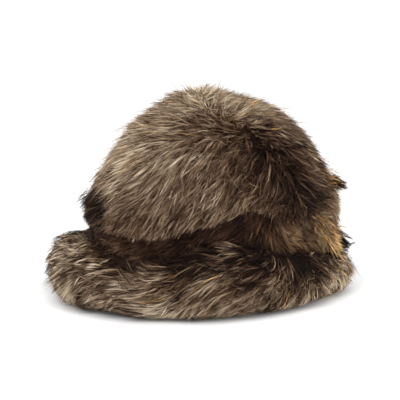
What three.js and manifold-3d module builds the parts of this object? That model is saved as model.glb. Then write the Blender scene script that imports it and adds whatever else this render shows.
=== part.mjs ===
// A fur hat: a domed crown sewn from two long-haired pelts over a thin hide, a band of short
// fur, and a thick brim with fur on both faces.
// Millimetres, +Z up. The front of the hat points to -Y, and it stands on the plane z = 0.

import * as THREE from 'three';
import Module from 'manifold-3d';

const wasm = await Module();
wasm.setup();

// Head opening and hide
const headLength = 200; // inside the opening, front to back
const headWidth = 168; // inside the opening, ear to ear
const hideWall = 2.5;
const openingHeight = 44; // lower edge of the hide above the floor
const domeBase = 58; // height where the hide begins to curve in
const hideTop = 178;
const hideRoundness = 2.05; // exponent of the dome, where 2 is an ellipsoid
const topLean = 9; // how far the top leans to the back

// Fur
const crownCoat = 12; // dense fur over the hide at the foot of the crown
const topCoat = 15; // the same at the top of the crown
const coatBase = 66; // height where the coat of the crown is widest
const coatRoundness = 1.88;
const bandCoat = 8.5; // short fur of the band, half way up
const bandEdgeShare = 0.85; // its depth along its edges, as a share of that
const clearance = 0.3; // between neighbouring pieces

// Where one fur ends and the next begins, at the front of the hat
const crownEdge = 70; // lower edge of the crown's fur above the floor
const brimTop = 56; // upper edge of the brim's fur above the floor

// Brim
const brimReach = 46; // beyond the hide, at the front
const rimHeight = 23; // height where the brim reaches furthest
const rimCurl = 0.32; // how far the rim curls back in to the floor, as a share of the reach
const underReach = 6; // from the hide out to the part that rests on the floor
const rimShare = 0.64; // the rim on the way down the brim's outside, where 1 is the floor
const brimSteps = [0, 0.12, 0.3, 0.48, rimShare, 0.82, 1]; // rings of the brim's outside
const mouthSteps = [0.3, 0.8]; // rings of the brim's inside, as shares of openingHeight

// The parting, where the two pelts of the crown meet, runs from ear to ear
const partingTop = 8; // behind the middle, at the top
const partingFoot = 58; // behind the middle, at the foot of the crown

// The edges and the reach of the brim from the front (0) round to the back (180),
// as shares of crownEdge, brimTop and brimReach
const edges = [
  { around: 0, crown: 1.0, brim: 1.0, reach: 1.0 },
  { around: 45, crown: 1.0, brim: 0.97, reach: 0.92 },
  { around: 72, crown: 1.19, brim: 1.08, reach: 0.76 },
  { around: 95, crown: 1.38, brim: 1.25, reach: 0.67 },
  { around: 122, crown: 1.22, brim: 1.18, reach: 0.65 },
  { around: 150, crown: 1.02, brim: 0.96, reach: 0.62 },
  { around: 180, crown: 0.98, brim: 0.92, reach: 0.61 },
];

// Locks of fur: how many, their size, how far their tips stand up and how far they stray (radians)
const crownLocks = { count: 92, length: 44, width: 24, depth: 4.2, rise: 3.5, stray: 0.25 };
const brimLocks = { count: 54, length: 38, width: 25, depth: 4.6, rise: 3, stray: 0.3 };
const crownBend = 105; // radius that the locks of the crown bend round
const crownRoots = 0.3; // least height of a lock's root over the crown's edge, in lock lengths
const brimRows = [0.1, 0.3, 0.5]; // where the locks root down the brim's outside
const brimLockEnd = 0.92; // where they end on it at most
const spread = { size: 0.15, place: 0.3, row: 0.04 }; // how much one lock differs from the next

// The way that each fur lies, before the surface turns it
const frontPelt = new THREE.Vector3(0, -1, -0.9);
const backPelt = new THREE.Vector3(0, 0.7, -1);
const brimSweep = 0.9; // to the front, against 1 outwards
const brimDrop = 0.7; // down, against 1 outwards

// A lock from its root to its tip, as shares of its length, width, depth and rise
const lockSections = [
  { along: 0.22, width: 1.0, depth: 1.0, above: -0.2 },
  { along: 0.68, width: 0.8, depth: 0.85, above: 0.7 },
];
const lockRoot = { along: 0, above: -1 };
const lockTip = { along: 1, above: 1.3 };

// Faces
const aroundSteps = 32;
const domeSteps = 7;

const colours = { hide: 0x4a3526, crown: 0x8b765f, band: 0x2b1f18, brim: 0x6f5a47 };

const fullTurn = 2 * Math.PI;
const quarterTurn = Math.PI / 2;
const goldenTurn = Math.PI * (3 - Math.sqrt(5));
const halfLength = headLength / 2 + hideWall;
const halfWidth = headWidth / 2 + hideWall;
const hatTop = hideTop + topCoat;

// A repeatable number from -1 to 1 for lock i
function scatter(i, kind) {
  const wave = Math.sin(i * 12.9898 + kind * 78.233) * 43758.5453;
  return 2 * (wave - Math.floor(wave)) - 1;
}

// A column of the edges table at any angle round the hat, alike on both sides
function edgeShare(column, around) {
  const turned = Math.abs(Math.atan2(Math.sin(around), Math.cos(around)));
  const angle = THREE.MathUtils.radToDeg(turned);
  const next = Math.max(1, edges.findIndex((row) => row.around >= angle - 1e-9));
  const [low, high] = [edges[next - 1], edges[next]];
  const share = (angle - low.around) / (high.around - low.around);
  const eased = (1 - Math.cos(Math.PI * share)) / 2;
  return low[column] + (high[column] - low[column]) * eased;
}

const crownEdgeAt = (around) => crownEdge * edgeShare('crown', around);
const brimTopAt = (around) => brimTop * edgeShare('brim', around);
const brimReachAt = (around) => brimReach * edgeShare('reach', around);

// How far the hat leans to the back at a height
const leanAt = (height) => topLean * Math.max(0, (height - domeBase) / (hatTop - domeBase)) ** 1.2;

// A point of an oval ring that stands this far outside the hide's oval
function ovalPoint(outside, around, height, shrink = 1) {
  const x = (halfWidth + outside) * shrink * Math.sin(around);
  const y = -(halfLength + outside) * shrink * Math.cos(around) + leanAt(height);
  return new THREE.Vector3(x, y, height);
}

// A dome over the hide's oval: tilt is 0 where it springs and a quarter turn at its top
function domePoint(dome, around, tilt) {
  const shrink = Math.max(0, Math.cos(tilt)) ** (2 / dome.roundness);
  const height = dome.base + (dome.top - dome.base) * Math.sin(tilt) ** (2 / dome.roundness);
  return ovalPoint(dome.outside, around, height, shrink);
}

const tiltAt = (dome, height) =>
  Math.asin(Math.max(0, (height - dome.base) / (dome.top - dome.base)) ** (dome.roundness / 2));

const hideDome = { outside: 0, base: domeBase, top: hideTop, roundness: hideRoundness };
const hideInside = { ...hideDome, outside: -hideWall, top: hideTop - hideWall };
const hideSpace = { ...hideDome, outside: clearance, top: hideTop + clearance };
const coatDome = { outside: crownCoat, base: coatBase, top: hatTop, roundness: coatRoundness };

// A closed surface through rings of points. The last ring joins the first, or each end is
// closed by a ring of one point.
function skin(rings) {
  const points = rings.flat();
  const starts = rings.map((_, k) => rings.slice(0, k).flat().length);
  const bands = rings[0].length > 1 ? rings.length : rings.length - 1;
  const index = [];
  for (let k = 0; k < bands; k++) {
    const [a, b] = [rings[k], rings[(k + 1) % rings.length]];
    const [startA, startB] = [starts[k], starts[(k + 1) % rings.length]];
    const steps = Math.max(a.length, b.length);
    for (let j = 0; j < steps; j++) {
      const after = (j + 1) % steps;
      if (a.length === 1) index.push(startA, startB + after, startB + j);
      else if (b.length === 1) index.push(startA + j, startA + after, startB);
      else {
        index.push(startA + j, startA + after, startB + after);
        index.push(startA + j, startB + after, startB + j);
      }
    }
  }
  return solid(points, index);
}

// A solid from points and triangles, with its faces turned outwards
function solid(points, index) {
  const vertProperties = new Float32Array(points.flatMap((p) => p.toArray()));
  const make = (triangles) =>
    new wasm.Manifold(new wasm.Mesh({ numProp: 3, vertProperties, triVerts: new Uint32Array(triangles) }));
  const made = make(index);
  if (made.volume() > 0) return made;
  for (let i = 0; i < index.length; i += 3) [index[i + 1], index[i + 2]] = [index[i + 2], index[i + 1]];
  return make(index);
}

function ring(pointAt) {
  return Array.from({ length: aroundSteps }, (_, j) => pointAt((j * fullTurn) / aroundSteps));
}

// The rings of a dome from its top down to a lower edge
function domeRings(dome, edgeAt) {
  const rings = [[domePoint(dome, 0, quarterTurn)]];
  for (let k = 1; k <= domeSteps; k++) {
    rings.push(
      ring((around) => {
        const edgeTilt = tiltAt(dome, edgeAt(around));
        return domePoint(dome, around, THREE.MathUtils.lerp(quarterTurn, edgeTilt, k / domeSteps));
      }),
    );
  }
  return rings;
}

// The rings of the hide's outside or inside: a dome, and a straight wall down to an edge
function hideRings(dome, edge) {
  const wall = ring((around) => ovalPoint(dome.outside, around, edge));
  return [...domeRings(dome, () => domeBase), wall];
}

// Hide: a thin dome, open below
function makeHide() {
  const [outer, inner] = [hideDome, hideInside].map((dome) => hideRings(dome, openingHeight));
  return skin([...outer, ...inner.reverse()]);
}

// The room that the hide takes, filled, and a clearance more, which each fur is cut back from
function makeHideSpace() {
  const foot = new THREE.Vector3(0, 0, openingHeight - clearance);
  return skin([...hideRings(hideSpace, foot.z), [foot]]);
}

// How a surface runs at a point: its outward normal, and its speed round and across its rings
function surfaceAt(pointAt, around, step) {
  const small = 1e-3;
  const round = pointAt(around + small, step).sub(pointAt(around - small, step));
  const across = pointAt(around, step + small).sub(pointAt(around, step - small));
  const normal = new THREE.Vector3().crossVectors(round, across).normalize();
  return { normal, round: round.divideScalar(2 * small), across: across.divideScalar(2 * small) };
}

// The direction that fur lies in, on a surface with this normal
function combed(pull, normal, i, stray) {
  const flow = pull.clone().projectOnPlane(normal).normalize();
  return flow.applyAxisAngle(normal, scatter(i, 3) * stray);
}

// A tapered tongue of fur along a path over the coat that carries it. Its root is buried in the
// coat, and it ends in a raised point.
function makeLock(pathAt, size, grow) {
  const at = ({ along, above }) => {
    const { point, normal, flow } = pathAt(along * size.length * grow);
    return { middle: point.addScaledVector(normal, above * size.rise), normal, flow };
  };
  const rings = lockSections.map((section) => {
    const { middle, normal, flow } = at(section);
    const side = new THREE.Vector3().crossVectors(flow, normal).normalize();
    const half = (size.width * grow * section.width) / 2;
    const thick = size.depth * section.depth;
    return [
      middle.clone().addScaledVector(side, half),
      middle.clone().addScaledVector(normal, thick),
      middle.clone().addScaledVector(side, -half),
      middle.clone().addScaledVector(normal, -thick),
    ];
  });
  return skin([[at(lockRoot).middle], ...rings, [at(lockTip).middle]]);
}

// Distance of the parting behind the hat's middle, at a height
const partingAt = (height) =>
  partingTop + ((partingFoot - partingTop) * (hatTop - height)) / (hatTop - crownEdge);

// Locks over the crown, evenly spread from the top down. They lie away from the parting.
function makeCrownLocks() {
  const locks = { front: [], back: [] };
  for (let i = 0; i < crownLocks.count; i++) {
    const around = i * goldenTurn;
    const height = coatBase + (hatTop - coatBase) * (1 - (i + 0.5) / crownLocks.count);
    if (height < crownEdgeAt(around) + crownLocks.length * crownRoots) continue;
    const tilt = tiltAt(coatDome, height);
    const root = domePoint(coatDome, around, tilt);
    const { normal } = surfaceAt((a, t) => domePoint(coatDome, a, t), around, tilt);
    const side = root.y < partingAt(root.z) ? 'front' : 'back';
    const flow = combed(side === 'front' ? frontPelt : backPelt, normal, i, crownLocks.stray);
    const pathAt = (run) => ({
      point: root.clone().addScaledVector(flow, run).addScaledVector(normal, (-run * run) / (2 * crownBend)),
      normal: normal.clone().addScaledVector(flow, run / crownBend).normalize(),
      flow,
    });
    locks[side].push(makeLock(pathAt, crownLocks, 1 + scatter(i, 1) * spread.size));
  }
  return locks;
}

// The outside of the brim's coat: share 0 is under the band, rimShare the rim and 1 the floor
function brimOutside(around, share) {
  const reach = brimReachAt(around);
  if (share <= rimShare) {
    const turned = (share / rimShare) * quarterTurn;
    const outside = bandCoat + (reach - bandCoat) * Math.sin(Math.max(0, turned)) ** 1.1;
    const height = rimHeight + (brimTopAt(around) - rimHeight) * Math.cos(turned) ** 0.95;
    return ovalPoint(outside, around, height);
  }
  const turned = ((share - rimShare) / (1 - rimShare)) * quarterTurn;
  const outside = reach * (1 - rimCurl * (1 - Math.cos(turned)));
  return ovalPoint(outside, around, rimHeight * (1 - Math.sin(turned)));
}

// The profile of the brim at one angle, as rings from the top of its fur outwards, round the
// rim, along the floor and up inside the opening
const brimProfile = [
  (around) => ovalPoint(-hideWall / 2, around, brimTopAt(around)),
  ...brimSteps.map((share) => (around) => brimOutside(around, share)),
  (around) => ovalPoint(underReach, around, 0),
  (around) => ovalPoint(0, around, openingHeight * mouthSteps[0]),
  (around) => ovalPoint(-hideWall / 2, around, openingHeight * mouthSteps[1]),
];

// Locks over the brim, in staggered rows. They lie outwards and to the front, and hang over the rim.
function makeBrimLocks() {
  return Array.from({ length: brimLocks.count }, (_, i) => {
    const row = i % brimRows.length;
    const around = ((i + scatter(i, 2) * spread.place) * fullTurn) / brimLocks.count;
    const share = brimRows[row] + scatter(i, 5) * spread.row;
    const { normal, round, across } = surfaceAt(brimOutside, around, share);
    const sweep = brimSweep * THREE.MathUtils.smoothstep(Math.cos(around), -0.85, 0.1);
    const pull = new THREE.Vector3(Math.sin(around), -Math.cos(around) - sweep, -brimDrop);
    const flow = combed(pull, normal, i, brimLocks.stray);
    const turn = flow.dot(round) / round.lengthSq();
    const drop = flow.dot(across) / across.lengthSq();
    const pathAt = (run) => {
      const [a, s] = [around + turn * run, Math.min(share + drop * run, brimLockEnd)];
      const here = surfaceAt(brimOutside, a, s);
      return { point: brimOutside(a, s), normal: here.normal, flow };
    };
    return makeLock(pathAt, brimLocks, 1 + scatter(i, 1) * spread.size);
  });
}

// A three.js geometry as a solid, with its shared corners merged
function fromGeometry(geometry) {
  const corners = new Map();
  const points = [];
  const position = geometry.getAttribute('position');
  const renamed = Array.from({ length: position.count }, (_, i) => {
    const point = new THREE.Vector3().fromBufferAttribute(position, i);
    const key = point.toArray().map((v) => v.toFixed(4)).join();
    if (!corners.has(key)) corners.set(key, points.push(point) - 1);
    return corners.get(key);
  });
  return solid(points, Array.from(geometry.index.array, (i) => renamed[i]));
}

// A block far larger than the hat, to cut with
const big = 1000;
const bigBlock = () => new THREE.BoxGeometry(big, big, big);

const underFloor = fromGeometry(bigBlock().translate(0, 0, -big / 2));

// One side of the parting, as a block whose face lies half a clearance from it
function partingSide(front) {
  const box = bigBlock().translate(0, (front ? -1 : 1) * (big / 2 + clearance / 2), 0);
  box.rotateX(Math.atan2(partingFoot - partingTop, hatTop - crownEdge));
  return fromGeometry(box.translate(0, partingAt(crownEdge), crownEdge));
}

// Band: short fur between the crown's fur and the brim's, or the space that it takes with a
// little to spare all round
function makeBand(spare) {
  const low = (around) => brimTopAt(around) + clearance - spare;
  const high = (around) => crownEdgeAt(around) - clearance + spare;
  const middle = (around) => (low(around) + high(around)) / 2;
  const profile = [
    (around) => ovalPoint(-hideWall / 2, around, high(around)),
    (around) => ovalPoint(bandCoat * bandEdgeShare + spare, around, high(around)),
    (around) => ovalPoint(bandCoat + spare, around, middle(around)),
    (around) => ovalPoint(bandCoat * bandEdgeShare + spare, around, low(around)),
    (around) => ovalPoint(-hideWall / 2, around, low(around)),
  ];
  return skin(profile.map(ring));
}

// The dense fur of the crown, filled
function makeCoat() {
  const inside = ring((around) => ovalPoint(-hideWall, around, crownEdgeAt(around)));
  return skin([...domeRings(coatDome, crownEdgeAt), inside, [new THREE.Vector3(0, 0, crownEdge)]]);
}

const union = (solids) => wasm.Manifold.union(solids);

// The largest body of a solid, without pockets shut in between locks or crumbs cut off a lock
const whole = (made) => made.decompose().reduce((a, b) => (a.volume() > b.volume() ? a : b));

function toMesh(name, made, colour) {
  const { vertProperties, triVerts } = made.getMesh();
  const geometry = new THREE.BufferGeometry();
  geometry.setAttribute('position', new THREE.BufferAttribute(new Float32Array(vertProperties), 3));
  geometry.setIndex(new THREE.BufferAttribute(new Uint32Array(triVerts), 1));
  geometry.computeVertexNormals();
  const material = new THREE.MeshStandardMaterial({ color: colour, roughness: 0.9, metalness: 0 });
  const mesh = new THREE.Mesh(geometry, material);
  mesh.name = name;
  return mesh;
}

// Each fur is cut back from the hide and from the fur below it
const hideRoom = makeHideSpace();
const bandRoom = makeBand(clearance);
const brim = whole(
  union([skin(brimProfile.map(ring)), ...makeBrimLocks()]).subtract(union([bandRoom, hideRoom, underFloor])),
);
const brimRoom = brim.add(brim.translate([0, 0, 2 * clearance]));
const below = union([bandRoom, hideRoom, brimRoom]);
const locks = makeCrownLocks();
const coat = makeCoat();
const pelt = (side) =>
  whole(union([coat, ...locks[side]]).subtract(below).intersect(partingSide(side === 'front')));

const hat = new THREE.Group();
hat.add(
  toMesh('crown_hide', makeHide(), colours.hide),
  toMesh('crown_fur_front', pelt('front'), colours.crown),
  toMesh('crown_fur_back', pelt('back'), colours.crown),
  toMesh('band_fur', makeBand(0).subtract(hideRoom), colours.band),
  toMesh('brim_fur', brim, colours.brim),
);

// The origin lies under the middle of the hat, on the floor
const box = new THREE.Box3().setFromObject(hat);
const middle = box.getCenter(new THREE.Vector3());
hat.position.set(-middle.x, -middle.y, -box.min.z);

export default hat;
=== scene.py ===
import math

import bpy
import numpy as np
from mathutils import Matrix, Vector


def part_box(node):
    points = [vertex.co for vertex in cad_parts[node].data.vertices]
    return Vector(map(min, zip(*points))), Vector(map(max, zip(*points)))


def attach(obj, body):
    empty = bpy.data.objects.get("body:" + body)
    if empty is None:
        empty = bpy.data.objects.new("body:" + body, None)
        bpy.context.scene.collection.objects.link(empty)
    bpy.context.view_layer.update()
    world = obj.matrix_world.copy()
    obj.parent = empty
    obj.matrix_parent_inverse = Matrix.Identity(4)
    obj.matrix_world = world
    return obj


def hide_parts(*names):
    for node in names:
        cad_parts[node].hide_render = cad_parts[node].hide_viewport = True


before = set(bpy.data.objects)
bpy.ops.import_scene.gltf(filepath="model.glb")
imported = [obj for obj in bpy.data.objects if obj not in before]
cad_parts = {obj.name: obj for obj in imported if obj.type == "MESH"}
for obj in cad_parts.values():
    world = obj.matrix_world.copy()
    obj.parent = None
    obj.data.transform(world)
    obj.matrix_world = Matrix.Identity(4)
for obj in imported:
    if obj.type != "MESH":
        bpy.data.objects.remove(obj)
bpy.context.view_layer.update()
mm = 0.001

# where the head opening is, read from the hide
hideLow, hideHigh = [np.array(corner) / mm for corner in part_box("crown_hide")]
middle = (hideLow + hideHigh) / 2
foot = np.array([middle[0], middle[1], 0])  # the middle of the hat's base
halfWidth, halfLength = (hideHigh - hideLow)[:2] / 2
hideEdge, hideTop = hideLow[2], hideHigh[2]
print("frame loaded, head opening", np.round(2 * halfLength), "by", np.round(2 * halfWidth), "mm")

hat = dict(
    domeBase=58, lean=9, leanPower=1.2,  # height where the crown curves in, lean to the back
    coat=12, topCoat=15, coatBase=66, coatRound=1.88,  # dense fur over the hide
    bandCoat=8.5, bandRound=0.6, crownEdge=70, brimTop=56,
    brimReach=46, rimHeight=23, rimCurl=0.32, rimShare=0.64,
    topBulge=1.1, topFall=0.95, underReach=6, underShare=0.4,
)
coatTop = hideTop + hat["topCoat"]
# edges and reach at angles from the front round to the back, as shares of crownEdge, brimTop and brimReach
edgeShares = dict(
    crown={0: 1.0, 45: 1.0, 72: 1.19, 95: 1.38, 122: 1.22, 150: 1.02, 180: 0.98},
    brim={0: 1.02, 20: 0.95, 40: 0.83, 58: 1.0, 75: 1.15, 95: 1.22, 122: 0.96, 150: 0.75, 180: 0.73},
    reach={0: 1.0, 45: 0.92, 72: 0.76, 95: 0.67, 122: 0.65, 150: 0.62, 180: 0.61},
)


def ease(value, low, high):
    t = np.clip((value - low) / (high - low), 0, 1)
    return t * t * (3 - 2 * t)


def unit(v):
    return v / np.maximum(np.linalg.norm(v, axis=-1, keepdims=True), 1e-9)


# the angle round the hat in degrees, from -180 to 180
def inDegrees(around):
    return np.degrees(np.arctan2(np.sin(around), np.cos(around)))


def edgeAt(column, around):
    shares = edgeShares[column]
    at, values = np.array(list(shares), float), np.array(list(shares.values()), float)
    angle = np.abs(inDegrees(around))
    k = np.clip(np.searchsorted(at, angle), 1, len(at) - 1)
    part = (angle - at[k - 1]) / (at[k] - at[k - 1])
    return values[k - 1] + (values[k] - values[k - 1]) * (1 - np.cos(np.pi * part)) / 2


def leanAt(height):
    rise = np.maximum(0, (height - hat["domeBase"]) / (coatTop - hat["domeBase"]))
    return hat["lean"] * rise ** hat["leanPower"]


def ovalPoint(outside, around, height, shrink=1.0):
    height = height + 0 * np.asarray(around, float)
    x = middle[0] + (halfWidth + outside) * shrink * np.sin(around)
    y = middle[1] - (halfLength + outside) * shrink * np.cos(around) + leanAt(height)
    return np.stack([x, y, height], -1)


# the crown's coat as a dome that points can be laid on, where outside is measured from its surface
def onCoat(points, outside):
    outside = np.asarray(outside, float)
    a = halfWidth + hat["coat"] + outside
    b = halfLength + hat["coat"] + outside
    c = coatTop - hat["coatBase"] + outside
    power = hat["coatRound"]
    lean = leanAt(points[..., 2])
    x, y = points[..., 0] - middle[0], points[..., 1] - middle[1] - lean
    z = points[..., 2] - hat["coatBase"]
    u = np.hypot(x / a, y / b)
    v = np.maximum(0, z / c)
    k = (u**power + v**power) ** (-1 / power)
    height = np.where(z > 0, z * k, z) + hat["coatBase"]
    return np.stack([middle[0] + x * k, middle[1] + y * k + leanAt(height), height], -1)


def coatNormal(points):
    a, b = halfWidth + hat["coat"], halfLength + hat["coat"]
    c, power = coatTop - hat["coatBase"], hat["coatRound"]
    x = points[..., 0] - middle[0]
    y = points[..., 1] - middle[1] - leanAt(points[..., 2])
    v = np.maximum(0, (points[..., 2] - hat["coatBase"]) / c)
    u = np.maximum(np.hypot(x / a, y / b), 1e-4)
    side = u ** (power - 2)
    return unit(np.stack([side * x / a**2, side * y / b**2, v ** (power - 1) / c], -1))


# the brim's coat: share 0 under the band, rimShare the rim, 1 the floor, then in under the hat to 1.4
def brimPoint(around, share):
    rim, reach = hat["rimShare"], hat["brimReach"] * edgeAt("reach", around)
    top = hat["brimTop"] * edgeAt("brim", around)
    coat, rimHeight = hat["bandCoat"], hat["rimHeight"]
    upper = np.clip(share / rim, 0, 1) * np.pi / 2
    lower = np.clip((share - rim) / (1 - rim), 0, 1) * np.pi / 2
    outside = coat + (reach - coat) * np.sin(upper) ** hat["topBulge"]
    height = rimHeight + (top - rimHeight) * np.cos(upper) ** hat["topFall"]
    below = share > rim
    outside = np.where(below, reach * (1 - hat["rimCurl"] * (1 - np.cos(lower))), outside)
    height = np.where(below, rimHeight * (1 - np.sin(lower)), height)
    under = np.clip((share - 1) / hat["underShare"], 0, 1)
    outside = outside + (hat["underReach"] - outside) * under * (share > 1)
    return ovalPoint(outside, around, np.maximum(height, 0))


# the band between the two: share 0 at the crown's edge, 1 at the brim's
def bandPoint(around, share):
    top = hat["crownEdge"] * edgeAt("crown", around)
    low = hat["brimTop"] * edgeAt("brim", around)
    outside = hat["bandCoat"] * (1 - hat["bandRound"] * (share - 0.5) ** 2)
    return ovalPoint(outside, around, top + (low - top) * share)


def ringFrame(pointAt, around, share):
    small = 1e-3
    alongRing = (pointAt(around + small, share) - pointAt(around - small, share)) / (2 * small)
    acrossRings = (pointAt(around, share + small) - pointAt(around, share - small)) / (2 * small)
    return alongRing, acrossRings, unit(np.cross(acrossRings, alongRing))


# Which way the fur is combed: headings are degrees from straight down the slope, positive round to the front

# how far behind the middle the parting between the two pelts of the crown lies, by height
partingLine = {70: 80, 98: 66, 120: 58, 138: 45, 162: 17, 172: 0, 188: -8}
comb = dict(
    frontHeadings={70: 38, 100: 33, 130: 35, 145: 42, 158: 62, 172: 85},  # by height
    backHeadings={70: -62, 100: -55, 115: -42, 130: -22, 160: -12, 180: -25},
    frontShares={-40: 0.6, 0: 1.1, 15: 1.15, 45: 0.6, 75: 0.9, 98: 1.35, 125: 1.2},  # by angle
    sharesEnd=(130, 155), topHeights=(148, 174),
    frontTop=(-0.3, -1.0, 0.15), backTop=(0.3, 1.0, 0.0),
    farTurn=-27, farFade=14, backFade=9, crossOver=8, stray=0.2, fineStray=0.7,
    brimHeadings={
        -180: 0, -150: -50, -75: -60, -50: -10, -25: 12, 0: 15, 20: 28, 35: 80, 47: 108, 57: 72, 66: 56,
        75: 60, 90: 76, 100: 72, 112: 48, 120: 24, 130: -25, 142: -50, 160: -50, 180: 0,
    },
    bandHeading=70, bandBack=120, bandTurn=(88, 124), bandFade=12,
)


def readAt(table, at):
    return np.interp(at, list(table), list(table.values()))


def behindParting(points):
    return points[..., 1] - middle[1] - readAt(partingLine, points[..., 2])


def turnedAbout(vectors, normals, angle):
    across = np.cross(normals, vectors)
    return vectors * np.cos(angle)[..., None] + across * np.sin(angle)[..., None]


# two waves of turning, whose lengths in millimetres don't fit each other
def strayAngle(points):
    x, y, z = np.moveaxis(points, -1, 0)
    wide = np.sin(x / 19 + y / 31 + 1.3) * np.cos(z / 17 - y / 23)
    fine = np.sin(x / 8.3 + z / 7.1) * np.cos(y / 7.7 + 0.6)
    return comb["stray"] * (wide + comb["fineStray"] * fine)


# a direction in the surface that is turned from straight down by the heading
def combed(normals, heading):
    down = np.array([0, 0, -1.0]) + normals * normals[..., 2:3]
    down = unit(down)
    ahead = np.cross(down, normals)
    angle = np.radians(heading)[..., None]
    return down * np.cos(angle) + ahead * np.sin(angle)


def aroundOf(points):
    return np.degrees(np.arctan2(points[..., 0] - middle[0], -(points[..., 1] - middle[1])))


def crownPull(points, shift):
    n = coatNormal(points)
    z, around = points[..., 2], aroundOf(points)
    # the near side is combed past the front to the far side, which mirrors it from farTurn on
    farTurn = comb["farTurn"]
    side = np.tanh((around - farTurn) / comb["farFade"]) * np.tanh((180 - np.abs(around)) / comb["backFade"])
    share = readAt(comb["frontShares"], np.where(around < 2 * farTurn, -around, around))
    share = share + (1 - share) * ease(z, *comb["sharesEnd"])
    high = ease(z, *comb["topHeights"])[..., None]
    mirror = np.stack([side, np.ones_like(side), np.ones_like(side)], -1)
    front = combed(n, readAt(comb["frontHeadings"], z) * share * side)
    front = front * (1 - high) + unit(np.array(comb["frontTop"])) * mirror * high
    back = combed(n, readAt(comb["backHeadings"], z) * side)
    back = back * (1 - high) + unit(np.array(comb["backTop"])) * mirror * high
    behind = ease(behindParting(points) + shift, -comb["crossOver"], comb["crossOver"])[..., None]
    pull = unit(front) * (1 - behind) + unit(back) * behind
    return turnedAbout(pull, n, strayAngle(points))


def brimPull(around, normals):
    return combed(normals, readAt(comb["brimHeadings"], inDegrees(around)))


def bandPull(around, normals):
    turned = inDegrees(around)
    side = np.tanh(turned / comb["bandFade"]) * np.tanh((180 - np.abs(turned)) / comb["bandFade"])
    heading = comb["bandHeading"] - comb["bandBack"] * ease(np.abs(turned), *comb["bandTurn"])
    return combed(normals, side * heading)


# Guides: one path for each wisp, laid over a coat from its root

stations = 7  # points along a guide
along = np.linspace(0, 1, stations)
alongGuide = along[None, :, None]
guideForm = dict(
    rises=(0.02, 1.3), bendPower=1.8, gatherPower=1.4, betweenLocks=(0.8, 1.6), leastShare=0.3,
)


def inSurface(vectors, normals):
    return unit(vectors - normals * (vectors * normals).sum(-1, keepdims=True))


# roots lie inside the coat, and deeper near the top
def rootDepth(points):
    return crownCoat["depth"] + crownCoat["topDepth"] * ease(points[:, 2], *crownCoat["topHeights"])


def layOnCoat(roots, length, shift, turn):
    path, p = [roots], roots
    depth = rootDepth(roots)
    step = length / (stations - 1) / 2
    for _ in range(2 * (stations - 1)):
        n = coatNormal(p)
        pull = turnedAbout(crownPull(p, shift), n, turn)
        p = onCoat(p + inSurface(pull, n) * step[:, None], -depth)
        path.append(p)
    path = np.stack(path[::2], 1)
    return path, coatNormal(path)


def layOnRing(pointAt, pullAt, around, share, length, turn, most):
    path, normals = [], []
    a, s = around.copy(), share.copy()
    step = length / (stations - 1)
    for _ in range(stations):
        alongRing, acrossRings, n = ringFrame(pointAt, a, s)
        p = pointAt(a, s)
        path.append(p)
        normals.append(n)
        flow = unit(turnedAbout(inSurface(pullAt(a, n), n), n, strayAngle(p) + turn))
        a = a + step * (flow * alongRing).sum(-1) / np.maximum((alongRing**2).sum(-1), 1)
        s = s + step * (flow * acrossRings).sum(-1) / np.maximum((acrossRings**2).sum(-1), 1)
        s = np.clip(s, 0.0, most)
    return np.stack(path, 1), np.stack(normals, 1)


# the guide leaves its coat: it rises, keeps some of its first direction and bends to one side
def raised(rng, path, normals, length, layer, riseMore):
    count = len(path)
    rise = np.radians(layer["rise"] + riseMore + layer["riseVaries"] * rng.normal(0, 1, count))
    rise = np.clip(rise, *guideForm["rises"])[:, None, None]
    start = unit(path[:, 1] - path[:, 0])[:, None]
    run = alongGuide * length[:, None, None]
    path = path + (path[:, :1] + start * run - path) * layer["stiff"]
    path = path[:, :1] + (path - path[:, :1]) * np.cos(rise)
    side = unit(np.cross(start, normals[:, :1]))
    bend = rng.normal(0, layer["bend"], count)[:, None, None]
    height = run * np.sin(rise)
    return path + normals * height + side * bend * alongGuide ** guideForm["bendPower"]


def variedLength(rng, layer, coat, count, shorter=0):
    least, most = coat["lengths"]
    share = 1 + coat["lengthVaries"] * rng.normal(0, 1, count)
    return layer["length"] * np.clip(share, least, most - shorter)


# wisps lean together into locks, whose own guides are some of the wisps. Locks differ in height and tone,
# and the wisps between two locks lie lower and are darkened with painted shade.
def gathered(rng, path, normals, coat, pull):
    count = len(path)
    chosen = rng.choice(count, min(coat["locks"], count), replace=False)
    nearest, away = np.zeros(count, int), np.zeros(count)
    atOnce = 2000  # wisps compared at a time, to save memory
    for first in range(0, count, atOnce):
        some = slice(first, first + atOnce)
        apart = ((path[some, 0][:, None] - path[chosen, 0][None]) ** 2).sum(-1)
        nearest[some], away[some] = apart.argmin(1), np.sqrt(apart.min(1))
    between = ease(away / np.median(away), *guideForm["betweenLocks"])
    together = alongGuide ** guideForm["gatherPower"] * pull
    lift = coat["lockLift"] * rng.normal(0, 1, len(chosen))[nearest] - coat["gapDepth"] * between
    path = path + (path[chosen][nearest] - path) * together
    path = path + normals * lift[:, None, None] * alongGuide
    # each lock's own tone, less a painted shade on the wisps between locks
    return path, coat["lockTone"] * rng.normal(0, 1, len(chosen))[nearest] - coat["paintedGapShade"] * between


def sampled(path, at):
    low = np.clip(at.astype(int), 0, stations - 2)
    part = (at - low)[..., None]
    rows = np.arange(len(path))[:, None]
    return path[rows, low] * (1 - part) + path[rows, low + 1] * part


# a guide is shortened where it would hang below a height
def cutAt(path, normals, limit):
    over = path[..., 2] - limit[:, None]
    below = over < 0
    first = np.where(below.any(1), below.argmax(1), stations - 1)
    first = np.maximum(first, 1)
    rows = np.arange(len(path))
    before, after = over[rows, first - 1], over[rows, first]
    part = np.where(after < 0, before / np.maximum(before - after, 1e-6), 1)
    share = np.clip((first - 1 + np.clip(part, 0, 1)) / (stations - 1), guideForm["leastShare"], 1)
    share = np.where(below.any(1), share, 1)
    at = along[None] * share[:, None] * (stations - 1)
    return sampled(path, at), sampled(normals, at)


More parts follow.
